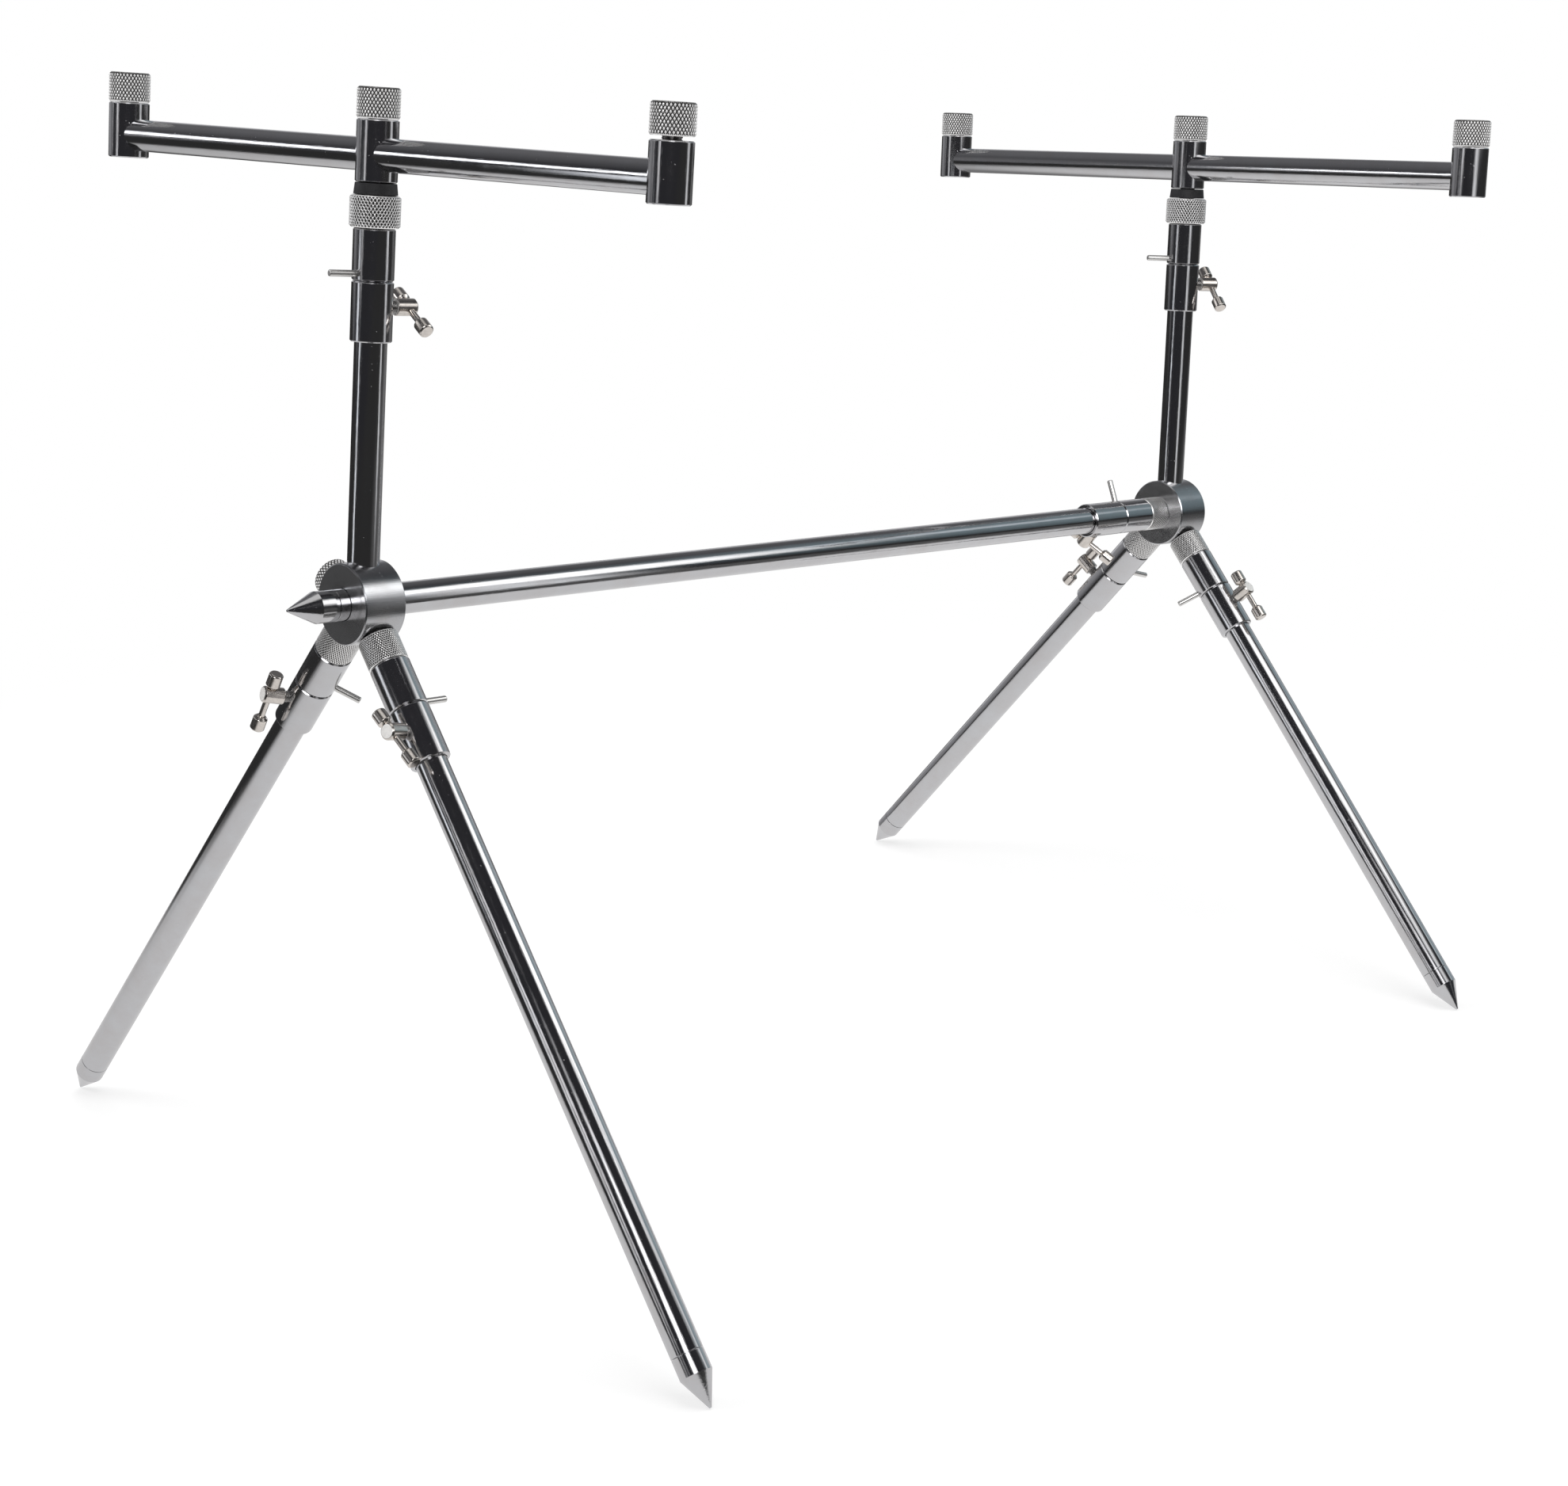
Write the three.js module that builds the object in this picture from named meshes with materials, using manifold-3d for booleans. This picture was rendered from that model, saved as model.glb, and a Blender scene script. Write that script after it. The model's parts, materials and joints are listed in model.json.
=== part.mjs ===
// A fishing rod pod in polished stainless steel: one telescopic main bar between two
// round hubs, four splayed telescopic legs with spikes, and two telescopic posts that
// each carry a buzz bar with three knurled, threaded knobs.
// Millimetres. The pod is built about its front hub: +Y runs along the main bar to the
// rear hub, +Z up the front post, and +X to the right of someone who stands in front.
// The whole pod is then tipped and moved so that its four spikes stand on z = 0.
import * as THREE from 'three';
import { mergeVertices } from 'three/addons/utils/BufferGeometryUtils.js';
import Module from 'manifold-3d';

const wasm = await Module();
wasm.setup();

// Fits
const clearance = 0.3;
const overrun = 1;

// Telescopic members: outer tube, inner rod and threaded stub
const tube_radius = 8;
const tube_wall = 1.2;
const rod_wall = 1.5;
const stub_radius = 4.7;
const rod_spare = 15;

// Head of every member: knurled ring, plain fitting, then the collar on the tube
const ring_length = 15.3;
const fitting_length = 24.9;
const collar_length = 29;
const head_radius = 10.2;
const head_chamfer = 0.6;
const post_ring_radius = 12.3;
const post_ring_chamfer = 1;

// Lever pin that turns each fitting
const lever_radius = 1.7;
const lever_reach = 24;
const lever_above_seam = 3.2;

// Clamp screw and the sliding tommy bar through its barrel
const screw_below_seam = 12.5;
const screw_shank_radius = 2.9;
const screw_thread_shown = 2.6;
const screw_barrel_radius = 4.3;
const screw_barrel_length = 11;
const screw_chamfer = 0.8;
const tommy_setback = 3.7;
const tommy_radius = 1.65;
const tommy_travel = 8.4;
const tommy_knob_radius = 3.7;
const tommy_knob_length = 8.2;
const tommy_knob_chamfer = 1.3;
const tommy_knob_edge = 0.7;

// Spikes
const spike_plug_length = 12;
const spike_shoulder_length = 10;
const spike_cone_length = 16;
const spike_tip_radius = 0.6;

// Hubs
const hub_radius = 20.3;
const hub_thickness = 24;
const hub_chamfer = 0.6;
const hub_spacing = 630;
const hub_socket_depth = 9.8;
const post_socket_depth = 10;
const bar_socket_depth = 10;
const bar_nose = 44.1;

// Clamp knob of the front hub
const hub_knob_radius = 10;
const hub_knob_thickness = 7;
const hub_knob_chamfer = 0.8;
const hub_screw_radius = 3;

// Legs
const front_leg_reach = 423.6;
const rear_leg_reach = 363.6;
const front_leg_splay = 39.6;
const rear_leg_splay = 42.1;

// Posts and buzz bars
const buzz_axis_height = 216.6;
const buzz_arm_radius = 8;
const buzz_arm_wall = 1.5;
const vent_radius = 1.5;
const buzz_tube_radius = 10.2;
const buzz_tube_chamfer = 0.6;
const centre_tube_below = 13;
const centre_tube_above = 16.6;
const end_tube_below = 11.5;
const end_tube_above = 16.4;
const front_half_width = 187.5;
const rear_half_width = 220;
const stub_engagement = 9;
const washer_height = 5.5;
const washer_foot_radius = 10.7;
const washer_top_radius = 10.1;

// Knurled knobs with a threaded neck below and a threaded socket on top
const knob_radius = 10.5;
const knob_height = 14.8;
const knob_top_chamfer = 1.1;
const knob_foot_chamfer = 0.8;
const knob_neck_length = 9;
const knob_socket_radius = 4.75;
const knob_socket_depth = 10;
const loose_knob_lift = 1.5;

// Sides of the round faces
const round_sides = 18;
const hub_sides = 32;
const small_sides = 10;
const pin_sides = 8;

// Angles in degrees, as the pieces stand in use: round a member from its front (legs and
// posts) or its top (main bar), and round each clamp screw from the member's own line.
const front_yaw = 6.43;
const rear_yaw = -5.89;
const front_post_lean = { right: 0.36, back: 1.41 };
const rear_post_lean = { right: -1.23, back: 0.69 };
const hub_knob_rise = 20;
const turns = {
  front_right_leg: { screw: -17, lever: 180, tommy: -14 },
  front_left_leg: { screw: 16, lever: 226, tommy: -15 },
  rear_right_leg: { screw: -92, lever: 48, tommy: 0 },
  rear_left_leg: { screw: 82, lever: 199, tommy: -3 },
  front_post: { screw: 186, lever: 6, tommy: 61 },
  rear_post: { screw: 203, lever: 30, tommy: 48 },
  main_bar: { screw: 139, lever: 23, tommy: 117 },
};

// Derived places along a member, from the face its ring seats on
const fitting_start = ring_length + clearance;
const fitting_end = fitting_start + fitting_length;
const collar_start = fitting_end + clearance;
const collar_end = collar_start + collar_length;
const lever_place = fitting_end - lever_above_seam;
const screw_place = fitting_end + screw_below_seam;
const rod_radius = tube_radius - tube_wall - clearance;
const bore_radius = stub_radius + clearance;
const sleeve_radius = tube_radius + clearance;
const screw_bore_radius = screw_shank_radius + clearance;
const screw_start = rod_radius + clearance;
const screw_shoulder = head_radius + screw_thread_shown;
const screw_end = screw_shoulder + screw_barrel_length;
const tommy_place = screw_end - tommy_setback;
const spike_length = clearance + spike_shoulder_length + spike_cone_length;

const polished = new THREE.MeshStandardMaterial({ color: 0xc4c6ca, metalness: 1, roughness: 0.12 });
const knurled = new THREE.MeshStandardMaterial({ color: 0xb9b7b4, metalness: 1, roughness: 0.34 });
const nickel = new THREE.MeshStandardMaterial({ color: 0xb8b0a6, metalness: 1, roughness: 0.2 });
const black = new THREE.MeshStandardMaterial({ color: 0x17181a, metalness: 0, roughness: 0.6 });

const degrees = Math.PI / 180;
const X = new THREE.Vector3(1, 0, 0);
const Y = new THREE.Vector3(0, 1, 0);
const Z = new THREE.Vector3(0, 0, 1);

function solid(geometry) {
  const bare = geometry.clone();
  bare.deleteAttribute('normal');
  bare.deleteAttribute('uv');
  const merged = mergeVertices(bare);
  const places = merged.attributes.position.array;
  const corner = (i) => new THREE.Vector3().fromArray(places, 3 * i);
  const faces = [];
  let volume = 0;
  for (let i = 0; i < merged.index.count; i += 3) {
    const [a, b, c] = [0, 1, 2].map((j) => merged.index.getX(i + j));
    if (a !== b && b !== c && c !== a) {
      faces.push([a, b, c]);
      volume += corner(a).dot(corner(b).cross(corner(c)));
    }
  }
  const outward = volume < 0 ? faces.map(([a, b, c]) => [a, c, b]) : faces;
  return new wasm.Manifold(new wasm.Mesh({
    numProp: 3,
    vertProperties: new Float32Array(places),
    triVerts: new Uint32Array(outward.flat()),
  }));
}

// Turns a profile of [radius, height] points about +Z.
function revolve(profile, sides) {
  const points = profile.map(([radius, height]) => new THREE.Vector2(radius, height));
  const open = profile[0][0] === 0 && profile.at(-1)[0] === 0;
  if (!open) points.push(points[0].clone());
  return new THREE.LatheGeometry(points, sides).rotateX(Math.PI / 2);
}

function rod_along_z(radius, from, to, sides) {
  return revolve([[0, from], [radius, from], [radius, to], [0, to]], sides);
}

// A round bar from the axis of a member outwards, at an angle round it.
function spoke(radius, from, to, angle, height, sides) {
  return rod_along_z(radius, from, to, sides)
    .rotateY(Math.PI / 2)
    .rotateZ(angle * degrees)
    .translate(0, 0, height);
}

function mesh(name, material, shape) {
  const made = shape.getMesh();
  const geometry = new THREE.BufferGeometry();
  geometry.setAttribute('position', new THREE.BufferAttribute(made.vertProperties, 3));
  geometry.setIndex(new THREE.BufferAttribute(made.triVerts, 1));
  geometry.computeVertexNormals();
  const piece = new THREE.Mesh(geometry, material);
  piece.name = name;
  return piece;
}

function chamfered_tube(inner, outer, chamfer, start, end, sides) {
  return revolve([
    [inner, start],
    [outer - chamfer, start],
    [outer, start + chamfer],
    [outer, end - chamfer],
    [outer - chamfer, end],
    [inner, end],
  ], sides);
}

function clamp_screw() {
  const body = solid(revolve([
    [0, screw_start],
    [screw_shank_radius, screw_start],
    [screw_shank_radius, screw_shoulder],
    [screw_barrel_radius, screw_shoulder],
    [screw_barrel_radius, screw_end - screw_chamfer],
    [screw_barrel_radius - screw_chamfer, screw_end],
    [0, screw_end],
  ], small_sides));
  const hole = rod_along_z(tommy_radius + clearance, -screw_end, screw_end, pin_sides)
    .rotateY(Math.PI / 2)
    .translate(0, 0, tommy_place);
  return body.subtract(solid(hole));
}

function tommy_bar() {
  const stop = screw_barrel_radius + clearance;
  const low = stop + tommy_travel;
  const neck = tommy_knob_radius - tommy_knob_chamfer;
  const face = tommy_knob_radius - tommy_knob_edge;
  return solid(revolve([
    [0, -stop - tommy_knob_length],
    [face, -stop - tommy_knob_length],
    [tommy_knob_radius, -stop - tommy_knob_length + tommy_knob_edge],
    [tommy_knob_radius, -stop - tommy_knob_chamfer],
    [neck, -stop],
    [tommy_radius, -stop],
    [tommy_radius, low],
    [neck, low],
    [tommy_knob_radius, low + tommy_knob_chamfer],
    [tommy_knob_radius, low + tommy_knob_length - tommy_knob_edge],
    [face, low + tommy_knob_length],
    [0, low + tommy_knob_length],
  ], small_sides));
}

function spike(tube_end) {
  const shoulder = tube_end + clearance;
  return solid(revolve([
    [0, tube_end - spike_plug_length],
    [rod_radius, tube_end - spike_plug_length],
    [rod_radius, shoulder],
    [tube_radius, shoulder],
    [tube_radius, shoulder + spike_shoulder_length],
    [spike_tip_radius, shoulder + spike_shoulder_length + spike_cone_length],
    [0, shoulder + spike_shoulder_length + spike_cone_length],
  ], round_sides));
}

// One telescopic member along its own +Z, with z = 0 at the face its ring seats on.
function member(name, { ring_radius, ring_chamfer, stub_length, tube_end, rod_end, spiked }) {
  const turn = turns[name];
  const group = new THREE.Group();
  const ring = chamfered_tube(bore_radius, ring_radius, ring_chamfer, 0, ring_length, round_sides);
  group.add(mesh(`${name}_ring`, knurled, solid(ring)));

  const rod = solid(revolve([
    [0, -stub_length],
    [stub_radius, -stub_length],
    [stub_radius, fitting_start],
    [head_radius - head_chamfer, fitting_start],
    [head_radius, fitting_start + head_chamfer],
    [head_radius, fitting_end - head_chamfer],
    [head_radius - head_chamfer, fitting_end],
    [rod_radius, fitting_end],
    [rod_radius, rod_end],
    [rod_radius - rod_wall, rod_end],
    [rod_radius - rod_wall, fitting_end],
    [0, fitting_end],
  ], round_sides));
  const lever = spoke(lever_radius, stub_radius, lever_reach, turn.lever, lever_place, pin_sides);
  group.add(mesh(`${name}_rod`, polished, rod.add(solid(lever))));

  const screw_hole = solid(spoke(
    screw_bore_radius, 0, head_radius + overrun, turn.screw, screw_place, small_sides));
  const tube = solid(revolve([
    [tube_radius - tube_wall, collar_start],
    [tube_radius, collar_start],
    [tube_radius, tube_end],
    [tube_radius - tube_wall, tube_end],
  ], round_sides));
  group.add(mesh(`${name}_tube`, polished, tube.subtract(screw_hole)));
  const collar = chamfered_tube(
    sleeve_radius, head_radius, head_chamfer, collar_start, collar_end, round_sides);
  group.add(mesh(`${name}_collar`, polished, solid(collar).subtract(screw_hole)));

  const screw_line = X.clone().applyAxisAngle(Z, turn.screw * degrees);
  const tommy_line = Z.clone().applyAxisAngle(screw_line, -turn.tommy * degrees);
  const across = screw_line.clone().cross(tommy_line);
  const screw_group = new THREE.Group();
  screw_group.applyMatrix4(new THREE.Matrix4().makeBasis(tommy_line, across, screw_line));
  screw_group.position.z = screw_place;
  screw_group.add(mesh(`${name}_clamp_screw`, nickel, clamp_screw()));
  const tommy = mesh(`${name}_tommy_bar`, nickel, tommy_bar());
  tommy.rotation.y = Math.PI / 2;
  tommy.position.z = tommy_place;
  screw_group.add(tommy);
  group.add(screw_group);

  if (spiked) group.add(mesh(`${name}_spike`, polished, spike(tube_end)));
  return group;
}

// Stands a member's +Z on a direction, with its +X on the given side.
function stand(group, x_line, z_line, place) {
  group.applyMatrix4(new THREE.Matrix4().makeBasis(x_line, z_line.clone().cross(x_line), z_line));
  group.position.copy(place);
  return group;
}

function leg_line(side, splay) {
  return new THREE.Vector3(side * Math.sin(splay * degrees), 0, -Math.cos(splay * degrees));
}

// The line of a post, which leans a little in its hub.
function post_line({ right, back }) {
  return new THREE.Vector3(Math.tan(right * degrees), Math.tan(back * degrees), 1).normalize();
}

function hub(is_front) {
  const half = hub_thickness / 2;
  const splay = is_front ? front_leg_splay : rear_leg_splay;
  let body = solid(revolve([
    [0, -half],
    [hub_radius - hub_chamfer, -half],
    [hub_radius, hub_chamfer - half],
    [hub_radius, half - hub_chamfer],
    [hub_radius - hub_chamfer, half],
    [0, half],
  ], hub_sides).rotateX(Math.PI / 2));
  const past = hub_radius + overrun;
  const post_floor = hub_radius - post_socket_depth;
  const post_turn = new THREE.Quaternion()
    .setFromUnitVectors(Z, post_line(is_front ? front_post_lean : rear_post_lean));
  const post_socket = rod_along_z(sleeve_radius, post_floor, past, round_sides);
  body = body.subtract(solid(post_socket.applyQuaternion(post_turn)));
  for (const side of [-1, 1]) {
    const turn = new THREE.Quaternion().setFromUnitVectors(Z, leg_line(side, splay));
    const socket = rod_along_z(bore_radius, hub_radius - hub_socket_depth, past, small_sides)
      .applyQuaternion(turn);
    body = body.subtract(solid(socket));
  }
  if (is_front) {
    const bore = rod_along_z(sleeve_radius, -half - overrun, half + overrun, round_sides);
    body = body.subtract(solid(bore.rotateX(Math.PI / 2)));
    const screw_bore = rod_along_z(hub_screw_radius + clearance, 0, past, small_sides)
      .rotateY((hub_knob_rise * degrees) - (Math.PI / 2));
    body = body.subtract(solid(screw_bore));
  } else {
    const socket = rod_along_z(bore_radius, half - bar_socket_depth, half + overrun, small_sides);
    body = body.subtract(solid(socket.rotateX(Math.PI / 2)));
  }
  return mesh(is_front ? 'front_hub' : 'rear_hub', polished, body);
}

// The hub's clamp knob, along its own +Z from the hub's axis.
function hub_knob() {
  const seat = hub_radius + clearance;
  return mesh('hub_clamp_knob', knurled, solid(revolve([
    [0, sleeve_radius],
    [hub_screw_radius, sleeve_radius],
    [hub_screw_radius, seat],
    [hub_knob_radius - hub_knob_chamfer, seat],
    [hub_knob_radius, seat + hub_knob_chamfer],
    [hub_knob_radius, seat + hub_knob_thickness - hub_knob_chamfer],
    [hub_knob_radius - hub_knob_chamfer, seat + hub_knob_thickness],
    [0, seat + hub_knob_thickness],
  ], round_sides)));
}

// A buzz bar along its own X, with its arms' line at z = 0.
function buzz_bar(name, half_width) {
  const upright = (below, above, place) => solid(revolve([
    [0, -below],
    [buzz_tube_radius - buzz_tube_chamfer, -below],
    [buzz_tube_radius, buzz_tube_chamfer - below],
    [buzz_tube_radius, above - buzz_tube_chamfer],
    [buzz_tube_radius - buzz_tube_chamfer, above],
    [0, above],
  ], round_sides).translate(place, 0, 0));
  const along_x = (radius, from, to, sides) =>
    solid(rod_along_z(radius, from, to, sides).rotateY(Math.PI / 2));
  let bar = along_x(buzz_arm_radius, -half_width, half_width, round_sides)
    .add(upright(centre_tube_below, centre_tube_above, 0));
  for (const side of [-1, 1]) {
    bar = bar.add(upright(end_tube_below, end_tube_above, side * half_width));
    const hollow = [buzz_tube_radius * side, (half_width - buzz_tube_radius) * side].sort((a, b) => a - b);
    bar = bar.subtract(along_x(buzz_arm_radius - buzz_arm_wall, ...hollow, small_sides));
  }
  bar = bar.subtract(along_x(vent_radius, -half_width, half_width, pin_sides));
  for (const place of [-half_width, 0, half_width]) {
    const bore = rod_along_z(
      bore_radius, -centre_tube_below - overrun, centre_tube_above + overrun, small_sides);
    bar = bar.subtract(solid(bore.translate(place, 0, 0)));
  }
  return mesh(name, polished, bar);
}

function knob(name) {
  const floor = knob_height - knob_socket_depth;
  return mesh(name, knurled, solid(revolve([
    [0, -knob_neck_length],
    [stub_radius, -knob_neck_length],
    [stub_radius, 0],
    [knob_radius - knob_foot_chamfer, 0],
    [knob_radius, knob_foot_chamfer],
    [knob_radius, knob_height - knob_top_chamfer],
    [knob_radius - knob_top_chamfer, knob_height],
    [knob_socket_radius, knob_height],
    [knob_socket_radius, floor],
    [0, floor],
  ], round_sides)));
}

function washer(name) {
  return mesh(name, black, solid(revolve([
    [bore_radius, -clearance],
    [washer_foot_radius, -clearance],
    [washer_top_radius, -clearance - washer_height],
    [bore_radius, -clearance - washer_height],
  ], round_sides)));
}

function leg(name, side, is_front) {
  const reach = (is_front ? front_leg_reach : rear_leg_reach) - hub_radius - clearance;
  const tube_end = reach - spike_length;
  const group = member(name, {
    ring_radius: head_radius,
    ring_chamfer: head_chamfer,
    stub_length: hub_socket_depth,
    tube_end,
    rod_end: tube_end - spike_plug_length - rod_spare,
    spiked: true,
  });
  const line = leg_line(side, is_front ? front_leg_splay : rear_leg_splay);
  const place = line.clone().multiplyScalar(hub_radius + clearance);
  return stand(group, Y.clone().negate(), line, place);
}

// A post with its buzz bar and knobs, standing on a hub at the origin.
function post(name, end, half_width, yaw, lean, loose_side) {
  const group = new THREE.Group();
  group.quaternion.setFromUnitVectors(Z, post_line(lean));
  const washer_top = buzz_axis_height - centre_tube_below - clearance;
  const seat = washer_top - washer_height - clearance;
  const tube_end = seat - (hub_radius - post_socket_depth) - clearance;
  const stick = member(name, {
    ring_radius: post_ring_radius,
    ring_chamfer: post_ring_chamfer,
    stub_length: washer_top - seat + clearance + stub_engagement,
    tube_end,
    rod_end: tube_end - rod_spare,
    spiked: false,
  });
  stick.add(washer(`${name}_washer`));
  group.add(stand(stick, Y.clone().negate(), Z.clone().negate(), Z.clone().multiplyScalar(seat)));

  const top = new THREE.Group();
  top.position.z = buzz_axis_height;
  top.rotation.z = yaw * degrees;
  top.add(buzz_bar(`${end}_buzz_bar`, half_width));
  const rests = [['left', -half_width, end_tube_above], ['middle', 0, centre_tube_above],
    ['right', half_width, end_tube_above]];
  for (const [side, place, above] of rests) {
    const piece = knob(`${end}_${side}_knob`);
    const lift = side === loose_side ? loose_knob_lift : 0;
    piece.position.set(place, 0, above + clearance + lift);
    top.add(piece);
  }
  group.add(top);
  return group;
}

function end_frame(is_front) {
  const group = new THREE.Group();
  const end = is_front ? 'front' : 'rear';
  group.position.y = is_front ? 0 : hub_spacing;
  group.add(hub(is_front));
  group.add(leg(`${end}_left_leg`, -1, is_front));
  group.add(leg(`${end}_right_leg`, 1, is_front));
  group.add(is_front
    ? post('front_post', end, front_half_width, front_yaw, front_post_lean, 'right')
    : post('rear_post', end, rear_half_width, rear_yaw, rear_post_lean, 'none'));
  if (is_front) {
    const piece = hub_knob();
    piece.rotation.y = (hub_knob_rise * degrees) - (Math.PI / 2);
    group.add(piece);
  }
  return group;
}

function main_bar() {
  const seat = hub_spacing - hub_thickness / 2 - clearance;
  const tube_end = seat + bar_nose - spike_length;
  const group = member('main_bar', {
    ring_radius: head_radius,
    ring_chamfer: head_chamfer,
    stub_length: bar_socket_depth,
    tube_end,
    rod_end: tube_end - spike_plug_length - rod_spare,
    spiked: true,
  });
  return stand(group, Z, Y.clone().negate(), Y.clone().multiplyScalar(seat));
}

// How far a spike's lowest rim hangs below its hub's centre.
function drop(reach, splay) {
  return reach * Math.cos(splay * degrees) + spike_tip_radius * Math.sin(splay * degrees);
}

const pod = new THREE.Group();
pod.add(end_frame(true));
pod.add(end_frame(false));
pod.add(main_bar());
const front_drop = drop(front_leg_reach, front_leg_splay);
const rear_drop = drop(rear_leg_reach, rear_leg_splay);
pod.rotation.x = -Math.atan2(front_drop - rear_drop, hub_spacing);

const rod_pod = new THREE.Group();
rod_pod.add(pod);
rod_pod.updateMatrixWorld(true);
const box = new THREE.Box3().setFromObject(rod_pod, true);
pod.position.set(-(box.min.x + box.max.x) / 2, -(box.min.y + box.max.y) / 2, -box.min.z);

export default rod_pod;
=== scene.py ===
"""The looks of a fishing rod pod in polished stainless steel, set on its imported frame.

Every piece is worked out in millimetres in its own upright place, as in the part's source,
and is then stood on the pod and brought into metres in the frame's own axes.
"""
import json
import bpy
import numpy as np
from mathutils import Matrix


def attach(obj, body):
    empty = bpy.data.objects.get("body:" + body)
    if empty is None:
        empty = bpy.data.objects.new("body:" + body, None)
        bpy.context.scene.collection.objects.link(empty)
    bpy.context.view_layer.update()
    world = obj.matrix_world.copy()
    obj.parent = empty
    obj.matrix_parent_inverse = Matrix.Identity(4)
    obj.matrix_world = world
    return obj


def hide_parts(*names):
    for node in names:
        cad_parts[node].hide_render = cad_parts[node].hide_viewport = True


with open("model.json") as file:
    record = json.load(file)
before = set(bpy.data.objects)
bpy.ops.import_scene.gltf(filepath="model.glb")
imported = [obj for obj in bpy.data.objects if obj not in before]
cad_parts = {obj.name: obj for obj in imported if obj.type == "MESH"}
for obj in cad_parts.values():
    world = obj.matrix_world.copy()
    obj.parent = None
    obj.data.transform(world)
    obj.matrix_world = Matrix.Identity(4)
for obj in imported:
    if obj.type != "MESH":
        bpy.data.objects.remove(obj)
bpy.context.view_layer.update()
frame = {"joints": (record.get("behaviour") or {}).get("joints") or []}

# Sizes in millimetres, as in the part's source
clearance = 0.3
tube_radius, tube_wall, rod_wall, stub_radius, rod_spare = 8, 1.2, 1.5, 4.7, 15
ring_length, fitting_length, collar_length = 15.3, 24.9, 29
head_radius, head_chamfer = 10.2, 0.6
post_ring_radius, post_ring_chamfer = 12.3, 1
lever_radius, lever_reach, lever_above_seam = 1.7, 24, 3.2
screw_below_seam, screw_shank_radius, screw_thread_shown = 12.5, 2.9, 2.6
screw_barrel_radius, screw_barrel_length, screw_chamfer = 4.3, 11, 0.8
tommy_setback, tommy_radius, tommy_travel = 3.7, 1.65, 8.4
tommy_knob_radius, tommy_knob_length, tommy_knob_chamfer, tommy_knob_edge = 3.7, 8.2, 1.3, 0.7
spike_plug_length, spike_shoulder_length, spike_cone_length, spike_tip_radius = 12, 10, 16, 0.6
hub_radius, hub_thickness, hub_chamfer, hub_spacing = 20.3, 24, 0.6, 630
hub_socket_depth, post_socket_depth, bar_socket_depth, bar_nose = 9.8, 10, 10, 44.1
hub_knob_radius, hub_knob_thickness, hub_knob_chamfer = 10, 7, 0.8
hub_screw_radius, hub_knob_rise = 3, 20
hub_place = {"front": 0, "rear": hub_spacing}
leg_reach = {"front": 423.6, "rear": 363.6}
leg_splay = {"front": 39.6, "rear": 42.1}
buzz_axis_height, buzz_arm_radius, buzz_tube_radius, buzz_tube_chamfer = 216.6, 8, 10.2, 0.6
centre_tube_below, centre_tube_above, end_tube_below, end_tube_above = 13, 16.6, 11.5, 16.4
half_width = {"front": 187.5, "rear": 220}
stub_engagement, washer_height, washer_foot_radius, washer_top_radius = 9, 5.5, 10.7, 10.1
knob_radius, knob_height, knob_top_chamfer, knob_foot_chamfer = 10.5, 14.8, 1.1, 0.8
knob_neck_length, knob_socket_radius, knob_socket_depth, loose_knob_lift = 9, 4.75, 10, 1.5
yaw = {"front": 6.43, "rear": -5.89}
post_lean = {"front": (0.36, 1.41), "rear": (-1.23, 0.69)}
turns = {  # degrees: clamp screw, lever pin, tommy bar
    "front_right_leg": (-17, 180, -14), "front_left_leg": (16, 226, -15),
    "rear_right_leg": (-92, 48, 0), "rear_left_leg": (82, 199, -3),
    "front_post": (186, 6, 61), "rear_post": (203, 30, 48), "main_bar": (139, 23, 117),
}

# Knurls: style, cells round, length of a cell, points across a cell, depth
leg_ring_relief = ("raised", 51, 2.17, 6, 0.32)
post_ring_relief = ("raised", 44, 2.8, 8, 0.42)
knob_relief = ("cut", 36, 2.95, 8, 0.52)
hub_knob_relief = ("cut", 34, 2.95, 8, 0.55)
# How far a bar's end sinks into the piece that carries it, how far from an upright tube's axis
# an arm starts inside it, and the edge of a bore
sunk, arm_inset, bore_edge = 0.2, 6.2, 0.3
# Threads: pitch, depth
stub_thread, clamp_thread, hub_thread = (1.25, 0.5), (1.0, 0.45), (1.0, 0.4)

# Places along a member, from the face that its ring seats on
fitting_start = ring_length + clearance
fitting_end = fitting_start + fitting_length
collar_start = fitting_end + clearance
collar_end = collar_start + collar_length
lever_place = fitting_end - lever_above_seam
screw_place = fitting_end + screw_below_seam
rod_radius = tube_radius - tube_wall - clearance
bore_radius = stub_radius + clearance
sleeve_radius = tube_radius + clearance
screw_start = rod_radius + clearance
screw_shoulder = head_radius + screw_thread_shown
screw_end = screw_shoulder + screw_barrel_length
tommy_place = screw_end - tommy_setback

X, Y, Z = np.eye(3)


def unit(v):
    """A line's direction, one long."""
    return np.asarray(v, float) / np.linalg.norm(v)


def stand(x_line, z_line, origin=(0, 0, 0)):
    """A place whose +Z and +X lie on two given lines, as a 4 by 4 matrix."""
    place = np.eye(4)
    place[:3, 0], place[:3, 1], place[:3, 2] = x_line, np.cross(z_line, x_line), z_line
    place[:3, 3] = origin
    return place


def about(axis, degrees):
    """A turn about X, Y or Z."""
    a = np.radians(degrees)
    place, (i, j) = np.eye(4), {"X": (1, 2), "Y": (2, 0), "Z": (0, 1)}[axis]
    place[i, i] = place[j, j] = np.cos(a)
    place[i, j], place[j, i] = -np.sin(a), np.sin(a)
    return place


def move(x, y, z):
    """A shift, as a 4 by 4 matrix."""
    place = np.eye(4)
    place[:3, 3] = x, y, z
    return place


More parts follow.
